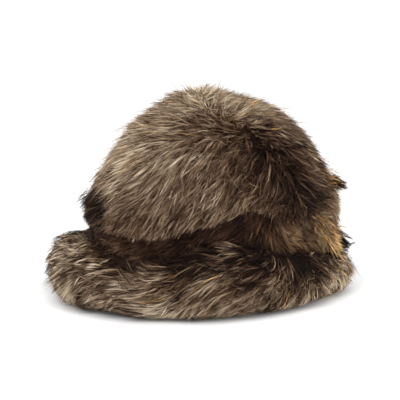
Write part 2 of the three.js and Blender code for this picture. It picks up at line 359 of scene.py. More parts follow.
# Hairs: thin tapered ribbons round each guide

hairSteps = np.array([0.0, 0.36, 0.72, 1.0])
hairTaper = np.array([0.7, 1.0, 0.82, 0.0])
hairForm = dict(triangles=5, longest=1.05, widths=(0.7, 1.25), clumpPower=1.1, frizzPower=1.6)
# u is a hair's tone, neutral below 0.5 and golden above. v runs from root to tip, and lies in the upper half
# for a dark tip.
hairMap = dict(
    tones=0.49, limits=(0.005, 0.985), neutralFrom=0.002, goldenFrom=0.505, width=0.004,
    root=0.01, run=0.47, tippedFrom=0.51, toneRamp=0.495, alongRamp=0.49,
)


def growHairs(rng, path, normals, layer):
    count, each = len(path), layer["hairs"]
    total = count * each
    owner = np.repeat(np.arange(count), each)
    share = rng.uniform(layer["short"], hairForm["longest"], total)
    at = hairSteps[None] * share[:, None] * (stations - 1)
    points, up = sampled(path[owner], at), unit(sampled(normals[owner], at))
    ahead = unit(np.gradient(points, axis=1))
    side = unit(np.cross(ahead, up))
    turn, spread = rng.uniform(0, 2 * np.pi, total), layer["spread"] * np.sqrt(rng.uniform(0, 1, total))
    loose = 1 - layer["clump"] * hairSteps[None, :, None] ** hairForm["clumpPower"]
    sideways, forward = (spread * np.cos(turn))[:, None, None], (spread * np.sin(turn))[:, None, None]
    points = points + (side[:, :1] * sideways + ahead[:, :1] * forward) * loose
    bend = rng.normal(0, layer["frizz"], (total, 2))
    wave = hairSteps[None, :, None] ** hairForm["frizzPower"]
    points = points + side * wave * bend[:, :1, None] + up * wave * np.abs(bend[:, 1:, None])
    roll = rng.uniform(-1, 1, total)[:, None, None]
    across = side * np.cos(roll) + up * np.sin(roll)
    width = layer["width"] * rng.uniform(*hairForm["widths"], total)[:, None, None]
    width = width * hairTaper[None, :, None] / 2
    return tucked(points), across * width, owner


# hair that would reach below the floor turns in under the hat
tuck = {"from": 6, "slant": 1.5, "floor": 0.4}


def tucked(points):
    short = np.maximum(0, tuck["from"] - points[..., 2:3])
    outward = points - middle
    outward[..., 2] = 0
    points = points - unit(outward) * short * tuck["slant"]
    points[..., 2] = np.maximum(points[..., 2], tuck["floor"])
    return points


def linked(name, data):
    piece = bpy.data.objects.new(name, data)
    bpy.context.scene.collection.objects.link(piece)
    return piece


def hairMesh(name, points, halfWidths, tone, tipped, material):
    count = len(points)
    left, right = points - halfWidths, points + halfWidths
    pairs = [left[:, 0], right[:, 0], left[:, 1], right[:, 1], left[:, 2], right[:, 2], points[:, 3]]
    vertices = np.stack(pairs, 1)
    corners = np.array([0, 1, 3, 2, 2, 3, 5, 4, 4, 5, 6])
    loops = (np.arange(count)[:, None] * 7 + corners[None]).ravel()
    sizes = np.tile([4, 4, 3], count)
    mesh = bpy.data.meshes.new(name)
    mesh.vertices.add(count * 7)
    mesh.vertices.foreach_set("co", (vertices * mm).astype(np.float32).ravel())
    mesh.loops.add(len(loops))
    mesh.loops.foreach_set("vertex_index", loops.astype(np.int32))
    mesh.polygons.add(len(sizes))
    starts = np.concatenate([[0], np.cumsum(sizes)[:-1]])
    mesh.polygons.foreach_set("loop_start", starts.astype(np.int32))
    mesh.polygons.foreach_set("use_smooth", np.ones(len(sizes), bool))
    across = np.array([0, 1, 0, 1, 0, 1, 0.5]) * hairMap["width"]
    alongHair = np.repeat(hairSteps, 2)[:7]
    u = tone[:, None] + across[None]
    v = hairMap["root"] + alongHair[None] * hairMap["run"] + hairMap["tippedFrom"] * tipped[:, None]
    uv = np.stack([u, v], -1).reshape(-1, 2)[loops]
    layer = mesh.uv_layers.new(name="OFBake")
    layer.data.foreach_set("uv", uv.astype(np.float32).ravel())
    mesh.update(calc_edges=True)
    mesh.materials.append(material)
    return linked(name, mesh)


# Colours of hairs: two families of tones, and how bright a hair is from root to tip

def linear(red, green, blue):
    parts = [((v / 255 + 0.055) / 1.055) ** 2.4 for v in (red, green, blue)]
    return (*parts, 1.0)


furColours = dict(
    neutral={
        0: (24, 12, 8), 0.2: (60, 38, 26), 0.45: (110, 87, 68), 0.7: (168, 145, 120), 1: (224, 207, 182),
    },
    golden={
        0: (25, 13, 7), 0.2: (68, 42, 24), 0.45: (124, 92, 60), 0.7: (180, 141, 92), 1: (226, 190, 136),
    },
    alongPlain={0: 0.14, 0.3: 0.46, 0.6: 0.9, 0.85: 1.0, 1: 0.95},
    alongTipped={0: 0.14, 0.25: 0.6, 0.4: 1.0, 0.54: 0.9, 0.68: 0.14, 1: 0.06},
    warmth=(1.0, 1.18, 1.4),  # powers for red, green and blue, which make dark parts warmer
)


def fillRamp(ramp, stops):
    elements = ramp.color_ramp.elements
    while len(elements) > 1:
        elements.remove(elements[-1])
    elements[0].position, elements[0].color = stops[0]
    for position, colour in stops[1:]:
        elements.new(position).color = colour


def newMaterial(name, roughness, specular):
    material = bpy.data.materials.new(name)
    material.use_nodes = True
    tree = material.node_tree
    shader = tree.nodes["Principled BSDF"]
    shader.inputs["Roughness"].default_value = roughness
    shader.inputs["Specular IOR Level"].default_value = specular
    return material, tree, shader


def furMaterial(name):
    material, tree, shader = newMaterial(name, roughness=0.6, specular=0.08)
    link = tree.links.new
    place = tree.nodes.new("ShaderNodeUVMap")
    place.uv_map = "OFBake"
    split = tree.nodes.new("ShaderNodeSeparateXYZ")
    link(place.outputs["UV"], split.inputs[0])
    toneRamp = tree.nodes.new("ShaderNodeValToRGB")
    stops = []
    for first, family in ((0, "neutral"), (hairMap["goldenFrom"], "golden")):
        for at, colour in furColours[family].items():
            stops.append((first + hairMap["toneRamp"] * at, linear(*colour)))
    fillRamp(toneRamp, stops)
    alongRamp = tree.nodes.new("ShaderNodeValToRGB")
    stops = []
    for first, family in ((0, "alongPlain"), (hairMap["tippedFrom"], "alongTipped")):
        for at, value in furColours[family].items():
            colour = [value**power for power in furColours["warmth"]]
            stops.append((first + hairMap["alongRamp"] * at, (*colour, 1)))
    fillRamp(alongRamp, stops)
    shade = tree.nodes.new("ShaderNodeMix")
    shade.data_type, shade.blend_type = "RGBA", "MULTIPLY"
    shade.inputs["Factor"].default_value = 1
    link(split.outputs["X"], toneRamp.inputs["Fac"])
    link(split.outputs["Y"], alongRamp.inputs["Fac"])
    link(toneRamp.outputs["Color"], shade.inputs["A"])
    link(alongRamp.outputs["Color"], shade.inputs["B"])
    link(shade.outputs["Result"], shader.inputs["Base Color"])
    return material


# Tones: each coat has a ground tone, and patches that shift it. A patch has a place on the near side, a size,
# and how much it adds to tone, golden and tipped.

coatTones = dict(
    crown=dict(
        tone=0.46, golden=0.03, tipped=0.08, uneven=0.17, cloudy=0.05,
        patches={
            (10, -88, 140): (32, 0.26),  # pale front
            (42, -90, 115): (20, 0.1), (60, -50, 130): (26, 0.08), (24, -52, 168): (22, -0.06, 0.04),
            (12, -10, 190): (24, 0.44),  # pale crest
            (46, -22, 170): (15, -0.07),  # shadow under the crest
            (40, -96, 88): (24, -0.16), (88, -48, 84): (22, -0.18), (90, -5, 100): (16, 0.04),
            (80, 6, 132): (22, -0.18), (75, 55, 112): (24, -0.2), (66, 82, 92): (18, -0.24),
            (58, 92, 70): (13, 0.14, 0.6), (40, 104, 112): (16, -0.1), (52, 70, 148): (16, -0.16),
            (30, 48, 178): (16, 0.12, 0.05), (14, 122, 86): (18, 0.46, 0.5, 0.1),
            (56, 92, 96): (12, -0.12),
            (8, -114, 80): (14, -0.26, 0, 0.5),  # dark front edge
        },
    ),
    band=dict(
        tone=0.12, golden=0.0, tipped=0.1, uneven=0.07, cloudy=0.04,
        patches={
            (40, -100, 62): (26, 0.13),
            (80, 58, 68): (22, 0.34, 0.5, 0.2),  # brown side
            (40, 106, 48): (17, 0.9, 1.0, -0.2),  # gold back
        },
    ),
    brim=dict(
        tone=0.4, golden=0.06, tipped=0.25, uneven=0.2, cloudy=0.15,
        patches={
            (-2, -138, 34): (28, 0.56, -0.15, 0.3),  # pale front
            (30, -134, 12): (20, 0.08, -0.1), (60, -105, 13): (16, -0.1, -0.1),
            (58, -91, 51): (13, -0.26), (83, -69, 55): (13, -0.26), (33, -109, 54): (12, -0.2),
            (58, -106, 36): (18, 0.24, -0.1), (46, -119, 33): (12, 0.14), (56, -88, 44): (14, -0.2),
            (84, -84, 40): (12, 0.2), (100, -52, 42): (16, -0.1), (100, -20, 56): (22, -0.1),
            (106, 30, 52): (18, -0.18, -0.1),
            (94, 66, 36): (28, -0.24, -0.05),  # dark back
            (106, -7, 62): (14, -0.2), (101, -54, 15): (14, 0.2), (122, 11, 24): (9, 0.16),
            (118, 34, 21): (12, 0.06), (112, 58, 16): (12, 0.2), (96, -66, 20): (16, 0.1),
            (64, 106, 11): (22, 0.4, 0.1),  # pale low edge at the back
        },
    ),
)
partingShade = dict(tone=-0.22, width=16, lowFade=(75, 95), highFade=(182, 162))
hairVaries = 0.05


def tonesAt(rng, part, points):
    coat = coatTones[part]
    near = points - foot
    near[:, 0] = np.abs(near[:, 0])
    values = {key: np.full(len(points), float(coat[key])) for key in ("tone", "golden", "tipped")}
    for place, (size, *shifts) in coat["patches"].items():
        weight = np.exp(-((near - place) ** 2).sum(-1) / (2 * size**2))
        for key, shift in zip(values, shifts):
            values[key] += weight * shift
    if part == "crown":
        inside = ease(points[:, 2], *partingShade["lowFade"])
        inside = inside * ease(points[:, 2], *partingShade["highFade"])
        away = behindParting(points) / partingShade["width"]
        values["tone"] += partingShade["tone"] * inside * np.exp(-(away**2) / 2)
    x, y, z = np.moveaxis(points, -1, 0)
    drift = np.sin(x / 9 + z / 13 + 2) * np.cos(y / 11 - z / 21) + 0.6 * np.sin(y / 5.3 + x / 6.1)
    values["tone"] += coat["cloudy"] * drift + coat["uneven"] * rng.normal(0, 1, len(points))
    return values


def paintHairs(rng, part, layer, path, owner, lighter):
    values = tonesAt(rng, part, path[:, 3])
    for key in ("golden", "tipped"):
        values[key] = np.full(len(path), layer[key]) if key in layer else values[key]
    tone = (values["tone"] + lighter)[owner] + rng.normal(0, hairVaries, len(owner))
    isGolden = (rng.uniform(0, 1, len(path)) < values["golden"])[owner]
    isTipped = (rng.uniform(0, 1, len(path)) < values["tipped"])[owner]
    tone = np.clip(tone, *hairMap["limits"]) * hairMap["tones"]
    tone = np.where(isGolden, hairMap["goldenFrom"] + tone, tone + hairMap["neutralFrom"])
    return tone, isTipped.astype(float)


hairFinish = furMaterial("longHair")
pieces = []


# layers are lists of guides with their settings, and groups tell which piece each hair goes to
def addHairs(seed, part, layers, groups):
    rng = np.random.default_rng(seed)
    grown = []
    for layer, path, normals, lighter in layers:
        points, halfWidths, owner = growHairs(rng, path, normals, layer)
        tone, tipped = paintHairs(rng, part, layer, path, owner, lighter)
        grown.append((points, halfWidths, tone, tipped, path[owner, 0]))
    points, halfWidths, tone, tipped, roots = [np.concatenate(column) for column in zip(*grown)]
    for name, (node, chosen) in groups(roots).items():
        piece = hairMesh(name, points[chosen], halfWidths[chosen], tone[chosen], tipped[chosen], hairFinish)
        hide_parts(node)
        pieces.append(piece)
        count = int(chosen.sum())
        print("  ", name, count, "hairs,", hairForm["triangles"] * count, "triangles")


# Tufts: bundles of wisps that stick out of the outline, with the place of their roots and where they point

tuftWisps = dict(hairs=4, spread=1.3, clump=0.8, frizz=0.6, short=0.7, width=0.5)
tuftVaries = dict(aim=0.25, place=0.5, lengths=(0.6, 1.1), togetherPower=1.5)
tufts = [
    dict(part="crown", at=(30, 103, 108), aim=(0.15, 1.0, -0.3), length=22, wisps=100,
     size=(15, 4, 8), together=0.35, droop=3, tone=0.2, golden=0.9, tipped=0.8),
    dict(part="crown", at=(34, 109, 105), aim=(0.15, 1.0, -0.3), length=15, wisps=50,
     size=(12, 4, 4), together=0.5, droop=2, tone=-0.6, golden=0.3, tipped=1.0),
    dict(part="crown", at=(0, -107, 94), aim=(-0.1, -1.0, -0.55), length=17, wisps=130,
     size=(32, 4, 9), together=0.1, droop=3, tone=-0.42, golden=0, tipped=0.4),
    dict(part="band", at=(38, 103, 52), aim=(0.35, 0.7, -0.7), length=14, wisps=300,
     size=(20, 8, 13), together=0, droop=2, tone=0.5, golden=1.0, tipped=0),
    dict(part="band", at=(26, 116, 47), aim=(0.25, 1.0, -0.05), length=15, wisps=150,
     size=(14, 4, 8), together=0.5, droop=4, tone=-0.8, golden=0.1, tipped=1.0),
    dict(part="brim", at=(-14, -120, 42), aim=(-0.3, -0.9, 0.4), length=15, wisps=80,
     size=(26, 8, 6), together=0.05, droop=3, tone=-0.05, golden=0.0, tipped=0.9),
]


def tuftLayers(rng, part):
    layers = []
    for tuft in tufts:
        if tuft["part"] != part:
            continue
        count = tuft["wisps"]
        centre = np.array(tuft["at"]) + foot
        direction = unit(np.array(tuft["aim"]))
        aim = unit(direction + rng.normal(0, tuftVaries["aim"], (count, 3)))
        roots = centre + rng.normal(0, tuftVaries["place"], (count, 3)) * tuft["size"]
        length = tuft["length"] * rng.uniform(*tuftVaries["lengths"], count)
        path = roots[:, None] + aim[:, None] * length[:, None, None] * alongGuide
        path[..., 2] -= tuft["droop"] * along**2
        tip = centre + direction * tuft["length"] - [0, 0, tuft["droop"]]
        together = tuft["together"] * alongGuide ** tuftVaries["togetherPower"]
        path = path + (tip - path) * together
        normals = np.broadcast_to(coatNormal(roots)[:, None], path.shape)
        layer = {**tuftWisps, "golden": tuft["golden"], "tipped": tuft["tipped"]}
        layers.append((layer, path, normals, tuft["tone"] + np.zeros(count)))
    return layers


# places where a coat stands further out than its solid: their size and how far
swells = dict(
    crown={
        (22, 110, 84): (20, 10), (4, -112, 92): (18, 4), (15, -62, 172): (16, 2),
        (10, 30, 190): (30, -5.5), (10, -14, 192): (14, 5), (12, -44, 184): (14, -5),
        (10, 14, 193): (10, -3), (10, -80, 158): (14, -2),
    },
    brim={
        (48, 118, 34): (18, 6), (50, 116, 16): (14, 4), (0, -140, 34): (26, -10),
        (0, -110, 52): (15, 5), (-44, -114, 44): (17, 5, "oneSided"),
    },
    band={(34, 106, 56): (18, 12)},
)


def swollen(part, roots):
    here = roots - foot
    near = np.abs(here * [1, 0, 0]) + here * [0, 1, 1]
    out = np.zeros(len(roots))
    for place, (size, most, *oneSided) in swells[part].items():
        away = (here if oneSided else near) - place
        out += most * np.exp(-(away**2).sum(-1) / (2 * size**2))
    return out[:, None, None]


# kinds of hair that crown and brim share
hairKinds = dict(
    under=dict(
        length=20, rise=9, riseVaries=5, bend=3, gather=0, turn=0.3, hairs=3,
        spread=3.0, clump=0.2, frizz=1.6, short=0.6, width=0.55,
    ),
    single=dict(
        bend=6, gather=0, turn=0.4, hairs=1, spread=1, clump=0, frizz=1.5, short=0.8, width=0.3, lighter=0,
    ),
    fuzz=dict(
        length=15, riseVaries=10, bend=4, gather=0, turn=0.6, hairs=1,
        spread=1.0, clump=0, frizz=1.5, short=0.7, width=0.28, lighter=0.05,
    ),
)

# Crown

crownCoat = dict(
    depth=4.5, locks=1100, lockLift=1.2, lockTone=0.08, gapDepth=1.8, paintedGapShade=0.18,
    topDepth=2, topHeights=(172, 184), scatter=1.2, edgeFree=2, fringeHeights=(3, 15),
    crossing=6, topCrossing=1.5, crossingHeights=(165, 185), loose=1.3, looseWidth=24,
    crest=(0, -8, 188), crestSize=32, crestRise=24, crestShorter=0.2,
    lengthVaries=0.2, lengths=(0.5, 1.4), shortHeights=(120, 145), shortBehind=(-6, 6),
    layers=[
        dict(
            count=13500, length=28, rise=8, riseVaries=5, stiff=0.05, bend=3.4,
            gather=0.35, turn=0.22, hairs=4, spread=1.3, clump=0.7, frizz=0.7, short=0.65, width=0.47,
            lighter=0.1, shorter=0.32,
        ),
        dict(hairKinds["under"], count=7000, stiff=0.05, lighter=-0.14, shorter=0.32),
        dict(hairKinds["single"], count=2200, length=34, rise=20, riseVaries=9, stiff=0.2, shorter=0.32),
    ],
    fuzz=dict(hairKinds["fuzz"], count=6000, rise=24, stiff=0.1, shorter=0),
    # an even edge of short hair over the band
    fringe=dict(
        count=2600, length=13, rise=16, riseVaries=5, stiff=0, bend=1.5, gather=0,
        turn=0.25, hairs=3, spread=1.6, clump=0.3, frizz=0.8, short=0.7, width=0.5,
        lighter=0.0, shorter=0,
    ),
)


def atCrest(roots):
    away = roots - foot - crownCoat["crest"]
    return np.exp(-(away**2).sum(-1) / (2 * crownCoat["crestSize"] ** 2))


# how much more the hair rises, in degrees: along the parting, behind it, and low at the back
crownRise = dict(
    heights=(95, 150), topHeights=(186, 172), parting=10, partingWidth=15,
    behind=24, behindFrom=(0, 12), behindTo=(80, 30),
    back=8, backAngles=(135, 155), backHeights=(130, 105),
)


def riseOver(roots):
    behind, height = behindParting(roots), roots[:, 2]
    high = ease(height, *crownRise["heights"]) * ease(height, *crownRise["topHeights"])
    more = crownRise["parting"] * np.exp(-((behind / crownRise["partingWidth"]) ** 2))
    inBack = crownRise["behind"] * ease(behind, *crownRise["behindFrom"])
    more = more + inBack * ease(behind, *crownRise["behindTo"])
    back = crownRise["back"] * ease(np.abs(aroundOf(roots)), *crownRise["backAngles"])
    back = back * ease(height, *crownRise["backHeights"])
    return more * high + back + crownCoat["crestRise"] * atCrest(roots)


def crownGuides(rng, layer):
    count = layer["count"]
    i = np.arange(count) + 0.5
    around = i * np.pi * (3 - 5**0.5)  # the golden angle, which spreads the roots evenly
    level = 1 - i / count
    height = hat["coatBase"] + (coatTop - hat["coatBase"]) * level
    shrink = (1 - level ** hat["coatRound"]) ** (1 / hat["coatRound"])
    roots = ovalPoint(hat["coat"], around, height, shrink)
    roots = roots + rng.normal(0, crownCoat["scatter"], (count, 3))
    roots = onCoat(roots, -rootDepth(roots))
    roots = roots[roots[:, 2] > crownEdgeAt(roots) + crownCoat["edgeFree"]]
    return grownOverCrown(rng, layer, roots)


def crownEdgeAt(points):
    return hat["crownEdge"] * edgeAt("crown", np.radians(aroundOf(points)))


def fringeGuides(rng, layer):
    around = rng.uniform(-np.pi, np.pi, layer["count"])
    edge = hat["crownEdge"] * edgeAt("crown", around)
    height = edge + rng.uniform(*crownCoat["fringeHeights"], len(around))
    roots = ovalPoint(hat["coat"], around, height)
    return grownOverCrown(rng, layer, onCoat(roots, -crownCoat["depth"]))


# how far the hair hangs below the crown's edge: further at the side and the back
crownHang = dict(all=1.5, side=6, sideAngles=(102, 120), back=7, backAngles=(130, 152))


def grownOverCrown(rng, layer, roots):
    count, coat = len(roots), crownCoat
    length = variedLength(rng, layer, coat, count, coat["crestShorter"] * atCrest(roots))
    behind = ease(roots[:, 2], *coat["shortHeights"])
    behind = behind * ease(behindParting(roots), *coat["shortBehind"])
    length = length * (1 - layer["shorter"] * np.maximum(atCrest(roots), behind))
    # the parting isn't a clean line: the wisps along it cross over each other
    atTop = ease(roots[:, 2], *coat["crossingHeights"])
    shift = coat["crossing"] * rng.normal(0, 1, count) * (1 + coat["topCrossing"] * atTop)
    loose = 1 + coat["loose"] * np.exp(-((behindParting(roots) / coat["looseWidth"]) ** 2))
    path, normals = layOnCoat(roots, length, shift, layer["turn"] * loose * rng.normal(0, 1, count))
    path = path + normals * swollen("crown", roots)
    path = raised(rng, path, normals, length, layer, riseOver(roots))
    lighter = layer["lighter"] + np.zeros(count)
    if layer["gather"]:
        path, lockTone = gathered(rng, path, normals, coat, layer["gather"])
        lighter = lighter + lockTone
    turned = np.abs(aroundOf(path[:, -1]))
    hang = crownHang["all"] + crownHang["side"] * ease(turned, *crownHang["sideAngles"])
    hang = hang + crownHang["back"] * ease(turned, *crownHang["backAngles"])
    path, normals = cutAt(path, normals, crownEdgeAt(path[:, -1]) - hang)
    return layer, path, normals, lighter


def crownGroups(roots):
    isBack, isNear = behindParting(roots) > 0, roots[:, 0] > middle[0]
    return {
        "crown_front_hair_left": ("crown_fur_front", ~isBack & isNear),
        "crown_front_hair_right": ("crown_fur_front", ~isBack & ~isNear),
        "crown_back_hair": ("crown_fur_back", isBack),
    }


print("crown hair")
crownRandom = np.random.default_rng(11)
crownLayers = [crownGuides(crownRandom, layer) for layer in crownCoat["layers"]]
crownLayers += [crownGuides(crownRandom, crownCoat["fuzz"]), fringeGuides(crownRandom, crownCoat["fringe"])]
addHairs(12, "crown", crownLayers + tuftLayers(crownRandom, "crown"), crownGroups)

# Brim

brimCoat = dict(
    depth=4.5, locks=480, lockLift=2.2, lockTone=0.19, gapDepth=2.4, paintedGapShade=0.28,
    layers=[
        dict(
            count=11000, length=31, rise=10, riseVaries=6, stiff=0.3, bend=3.6,
            gather=0.55, turn=0.22, hairs=4, spread=1.4, clump=0.74, frizz=0.7,
            short=0.65, width=0.48, lighter=0.16,
        ),
        dict(hairKinds["under"], count=6500, stiff=0.15, lighter=-0.2),
        dict(hairKinds["single"], count=900, length=30, rise=16, riseVaries=8, stiff=0.4),
        dict(hairKinds["fuzz"], count=5000, rise=22, stiff=0.2),
    ],
    # locks with black tips that stand out round the front of the rim
    spiky=dict(
        count=1500, locks=110, angles=(-68, 30), shares=(0.2, 0.95), lengths=(0.8, 1.1),
        length=19, rise=34, riseVaries=8, stiff=0.7, out=0.5, bend=2.5, gather=0.85,
        turn=0.3, hairs=3, spread=1.6, clump=0.8, frizz=0.6, short=0.75, width=0.5,
        lighter=0.16, golden=0.0, tipped=0.7,
    ),
    shares=(0.02, 0.97), furthest=1.1, lengthVaries=0.2, lengths=(0.5, 1.4),
    lowShorter=0.3, shorterShares=(0.6, 0.97), backShorter=0.3, backTurn=0.9,
    backAngles=(90, 125), frontAngles=(45, 20), frontShares=(0.15, 0.4),
    frontStiff=0.3, frontGather=0.2, frontEnd=-15,
    # degrees that the hair rises more, or less
    frontRise=9, backRise=-3, lowRise=-7, lowShares=(0.55, 0.85),
    innerRise=-6, innerShares=(0.35, 0.1),
    # painted shade on the brim near the band, where the crown shades it, and painted light below the rim,
    # where less light reaches
    paintedShadeNearBand=-0.3, paintedShadeShares=(0.45, 0.2), paintedShadeAngles=(4, 24),
    paintedLightBelow=0.16, paintedLightShares=(0.45, 0.72),
)


# roots spread evenly over a ring's area: out of many tries, those on wider parts are kept more often
def spreadOnRing(rng, pointAt, count, low, high):
    tries, widest = 3 * count, 0.98
    around = rng.uniform(-np.pi, np.pi, tries)
    share = rng.uniform(low, high, tries)
    alongRing, acrossRings, _ = ringFrame(pointAt, around, share)
    area = np.linalg.norm(np.cross(alongRing, acrossRings), axis=-1)
    keep = rng.uniform(0, 1, tries) < area / np.quantile(area, widest)
    return around[keep][:count], share[keep][:count]


def brimGuides(rng, layer):
    coat = brimCoat
    around, share = spreadOnRing(rng, brimPoint, layer["count"], *coat["shares"])
    turned, count = np.degrees(np.abs(around)), len(around)
    atBack = ease(turned, *coat["backAngles"])
    inFront = ease(turned, *coat["frontAngles"]) * ease(share, *coat["frontShares"])
    length = variedLength(rng, layer, coat, count)
    length = length * (1 - coat["lowShorter"] * ease(share, *coat["shorterShares"]))
    length = length * (1 - coat["backShorter"] * atBack)
    turn = layer["turn"] * (1 + coat["backTurn"] * atBack) * rng.normal(0, 1, count)
    path, normals = layOnRing(brimPoint, brimPull, around, share, length, turn, coat["furthest"])
    path = path + normals * (swollen("brim", path[:, 0]) - coat["depth"])
    riseMore = coat["lowRise"] * ease(share, *coat["lowShares"])
    riseMore = riseMore + coat["innerRise"] * ease(share, *coat["innerShares"])
    riseMore = riseMore + coat["backRise"] * atBack + coat["frontRise"] * inFront
    straight = (layer["stiff"] + coat["frontStiff"] * inFront)[:, None, None]
    path = raised(rng, path, normals, length, {**layer, "stiff": straight}, riseMore)
    # painted shade near the band, but for the front, and painted light below the rim
    paintedShade = ease(share, *coat["paintedShadeShares"]) * ease(turned, *coat["paintedShadeAngles"])
    paintedLight = ease(share, *coat["paintedLightShares"])
    lighter = layer["lighter"] + coat["paintedShadeNearBand"] * paintedShade + coat["paintedLightBelow"] * paintedLight
    if layer["gather"]:
        gather = layer["gather"] + coat["frontGather"] * inFront[:, None, None]
        path, lockTone = gathered(rng, path, normals, coat, gather)
        lighter = lighter + lockTone
    return layer, path, normals, lighter


def spikyGuides(rng, layer):
    count = layer["count"]
    around = np.radians(rng.uniform(*layer["angles"], count))
    share = rng.uniform(*layer["shares"], count)
    length = layer["length"] * rng.uniform(*layer["lengths"], count)
    turn = layer["turn"] * rng.normal(0, 1, count)
    path, normals = layOnRing(brimPoint, brimPull, around, share, length, turn, brimCoat["furthest"])
    path = path + normals * (swollen("brim", path[:, 0]) + layer["out"])
    path = raised(rng, path, normals, length, layer, 0)
    path, lockTone = gathered(rng, path, normals, {**brimCoat, "locks": layer["locks"]}, layer["gather"])
    return layer, path, normals, layer["lighter"] + lockTone


def brimGroups(roots):
    inFront, isNear = roots[:, 1] - middle[1] < brimCoat["frontEnd"], roots[:, 0] > middle[0]
    return {
        "brim_hair_front_left": ("brim_fur", inFront & isNear),
        "brim_hair_front_right": ("brim_fur", inFront & ~isNear),
        "brim_hair_back_left": ("brim_fur", ~inFront & isNear),
        "brim_hair_back_right": ("brim_fur", ~inFront & ~isNear),
    }


print("brim hair")
brimRandom = np.random.default_rng(77)
brimLayers = [brimGuides(brimRandom, layer) for layer in brimCoat["layers"]]
brimLayers += tuftLayers(brimRandom, "brim") + [spikyGuides(brimRandom, brimCoat["spiky"])]
addHairs(24, "brim", brimLayers, brimGroups)

# Band

bandCoat = dict(
    depth=3.0, locks=260, lockLift=0.8, lockTone=0.06, gapDepth=0.8, paintedGapShade=0.06,
    lengthVaries=0.3, lengths=(0.5, 1.6), backLonger=0.5, longerAngles=(85, 125),
    backRise=20, riseAngles=(130, 155), furthest=1.4,
    layers=[
        dict(
            count=3600, length=15, rise=6, riseVaries=5, stiff=0.15, bend=3, gather=0.2,
            turn=0.36, hairs=5, spread=1.8, clump=0.6, frizz=1.1, short=0.6, width=0.48,
            lighter=0,
        ),
    ],
)


def bandGuides(rng, layer):
    coat = bandCoat
    around, share = spreadOnRing(rng, bandPoint, layer["count"], 0.0, 1.0)
    turned, count = np.degrees(np.abs(around)), len(around)
    length = variedLength(rng, layer, coat, count)
    length = length * (1 + coat["backLonger"] * ease(turned, *coat["longerAngles"]))
    turn = layer["turn"] * rng.normal(0, 1, count)
    path, normals = layOnRing(bandPoint, bandPull, around, share, length, turn, coat["furthest"])
    path = path + normals * (swollen("band", path[:, 0]) - coat["depth"])
    riseMore = coat["backRise"] * ease(turned, *coat["riseAngles"])
    path = raised(rng, path, normals, length, layer, riseMore)
    path, lockTone = gathered(rng, path, normals, coat, layer["gather"])
    return layer, path, normals, layer["lighter"] + lockTone


def bandGroups(roots):
    return {"band_hair": ("band_fur", np.ones(len(roots), bool))}


print("band hair")
bandRandom = np.random.default_rng(37)
bandLayers = [bandGuides(bandRandom, layer) for layer in bandCoat["layers"]]
addHairs(38, "band", bandLayers + tuftLayers(bandRandom, "band"), bandGroups)

# Undercoat: the dense dark wool that shows between the wisps

wool = dict(
    below=4.6, lumps=0.7, bandBelow=3.2, bandLumps=0.3, steps=144, rows=40, fewRows=8,
    crownFree=1, crownInner=0.5, brimInner=0.6, innerDrop=1, floor=1.2,
    underShares=(1.03, 1.4), normalShares=(0.02, 0.98),
    # the brim's wall round the head opening: how far outside it, and how high
    mouth=((1, 8), (-0.5, 20), (-1.2, 36), (-0.4, hideEdge - 0.4)),
    roughness=0.95, specular=0.1, scale=420, detail=4,
    colours={0.35: (24, 14, 9), 0.7: (58, 40, 28)},
)


# a surface of two colours mixed by noise
def cloudyMaterial(name, look):
    material, tree, shader = newMaterial(name, look["roughness"], look["specular"])
    link = tree.links.new
    place = tree.nodes.new("ShaderNodeTexCoord")
    noise = tree.nodes.new("ShaderNodeTexNoise")
    noise.inputs["Scale"].default_value = look["scale"]
    noise.inputs["Detail"].default_value = look["detail"]
    ramp = tree.nodes.new("ShaderNodeValToRGB")
    fillRamp(ramp, [(at, linear(*colour)) for at, colour in look["colours"].items()])
    link(place.outputs["Object"], noise.inputs["Vector"])
    link(noise.outputs["Fac"], ramp.inputs["Fac"])
    link(ramp.outputs["Color"], shader.inputs["Base Color"])
    return material


def ringMesh(name, rings, material, closeTop=None):
    rows, steps = rings.shape[:2]
    vertices = rings.reshape(-1, 3)
    k, j = np.meshgrid(np.arange(rows - 1), np.arange(steps), indexing="ij")
    after = (j + 1) % steps
    faces = np.stack([k * steps + j, k * steps + after, (k + 1) * steps + after, (k + 1) * steps + j], -1)
    faces = faces.reshape(-1, 4).tolist()
    if closeTop is not None:
        vertices = np.concatenate([vertices, closeTop[None]])
        top = len(vertices) - 1
        faces += [[top, (n + 1) % steps, n] for n in range(steps)]
    mesh = bpy.data.meshes.new(name)
    mesh.from_pydata((vertices * mm).tolist(), [], faces)
    mesh.polygons.foreach_set("use_smooth", np.ones(len(mesh.polygons), bool))
    mesh.update()
    mesh.materials.append(material)
    return linked(name, mesh)


def lumpy(points, amount, normals):
    x, y, z = np.moveaxis(points, -1, 0)
    lump = np.sin(x / 3.1 + z / 4.3) * np.cos(y / 3.7 - z / 5.1) + 0.5 * np.sin(x / 1.7 + y / 1.9 + z / 2.3)
    return points + normals * (lump * amount)[..., None]


def swollenRings(part, rings):
    return np.array([swollen(part, ring)[:, 0] for ring in rings])


def crownWool(around):
    base, power, rows = hat["coatBase"], hat["coatRound"], wool["rows"]
    edge = hat["crownEdge"] * edgeAt("crown", around) + wool["crownFree"]
    low = np.arcsin(np.clip((edge - base) / (coatTop - base), 0, 1) ** (power / 2))
    row = np.arange(1, rows + 1)[:, None]
    tilt = np.pi / 2 + (low - np.pi / 2) * row / rows
    shrink = np.maximum(np.cos(tilt), 0) ** (2 / power)
    height = base + (coatTop - base) * np.sin(tilt) ** (2 / power)
    rings = onCoat(ovalPoint(hat["coat"], around[None] + 0 * tilt, height, shrink), -wool["below"])
    normals = coatNormal(rings)
    rings = lumpy(rings, wool["lumps"], normals) + normals * swollenRings("crown", rings)
    inside = ovalPoint(wool["crownInner"], around, rings[-1, :, 2])
    return np.concatenate([rings, inside[None]])


